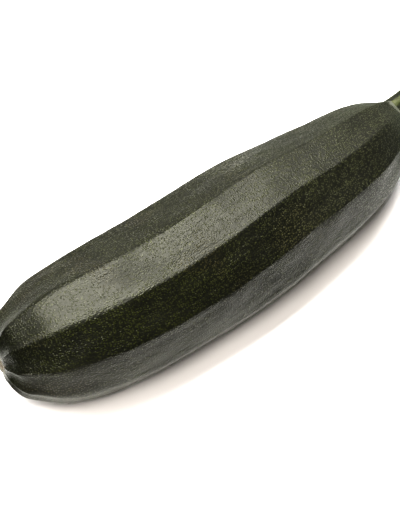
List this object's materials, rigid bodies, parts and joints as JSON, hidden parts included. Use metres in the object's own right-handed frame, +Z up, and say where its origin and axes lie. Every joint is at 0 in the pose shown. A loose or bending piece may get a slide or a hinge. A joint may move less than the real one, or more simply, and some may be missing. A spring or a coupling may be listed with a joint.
{
  "type": "zucchini",
  "caption": "Whole zucchini as picked, a long ribbed green fruit that narrows to a short five-ridged stem, lying on its side.",
  "frame": {"origin": "on the surface the zucchini lies on, under the middle of its bounding box", "axes": "+X along the fruit towards the stem, +Z up, the outside of the fruit's bend towards -Y"},
  "size_m": [0.2312, 0.0596, 0.0561],
  "materials": {
    "skin": "waxy, very dark green, with fine pale green flecks drawn out lengthwise",
    "stalk": "matt olive green with paler ridges, and a pale cut face"
  },
  "bodies": {
    "root": {"fruit": "skin", "stem": "stalk"}
  },
  "joints": []
}
